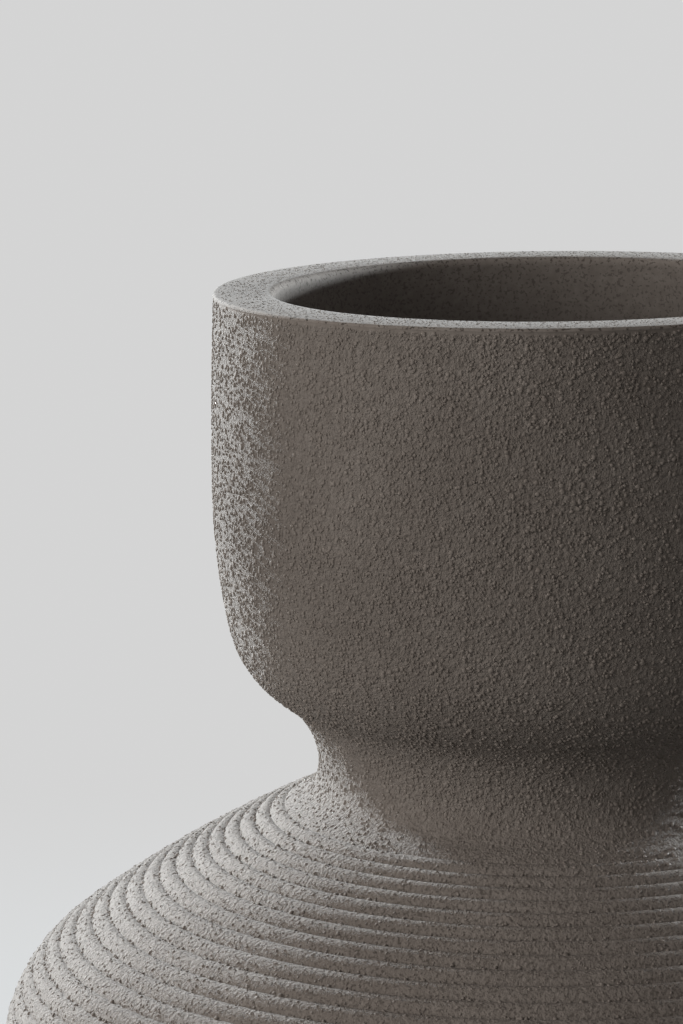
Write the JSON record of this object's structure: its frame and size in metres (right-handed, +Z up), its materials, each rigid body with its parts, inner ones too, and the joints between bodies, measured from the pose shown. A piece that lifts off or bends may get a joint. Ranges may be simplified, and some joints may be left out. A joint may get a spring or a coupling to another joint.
{
  "type": "urn vase",
  "caption": "Stoneware urn vase with a broad flat-rimmed cup mouth, a tight neck and a wide rounded body ringed with fine turned ribs, resting on felt pads.",
  "frame": {"origin": "on the table surface, at the centre of the foot ring", "axes": "+Z up along the vase's axis of turning; +X and +Y lie on the table, with a felt pad at 45 degrees between them"},
  "size_m": [0.286, 0.286, 0.34],
  "materials": {
    "stoneware": "matte",
    "felt": "matte"
  },
  "bodies": {
    "root": {"vase_body": "stoneware", "felt_pad_1": "felt", "felt_pad_2": "felt", "felt_pad_3": "felt", "felt_pad_4": "felt"}
  },
  "joints": []
}
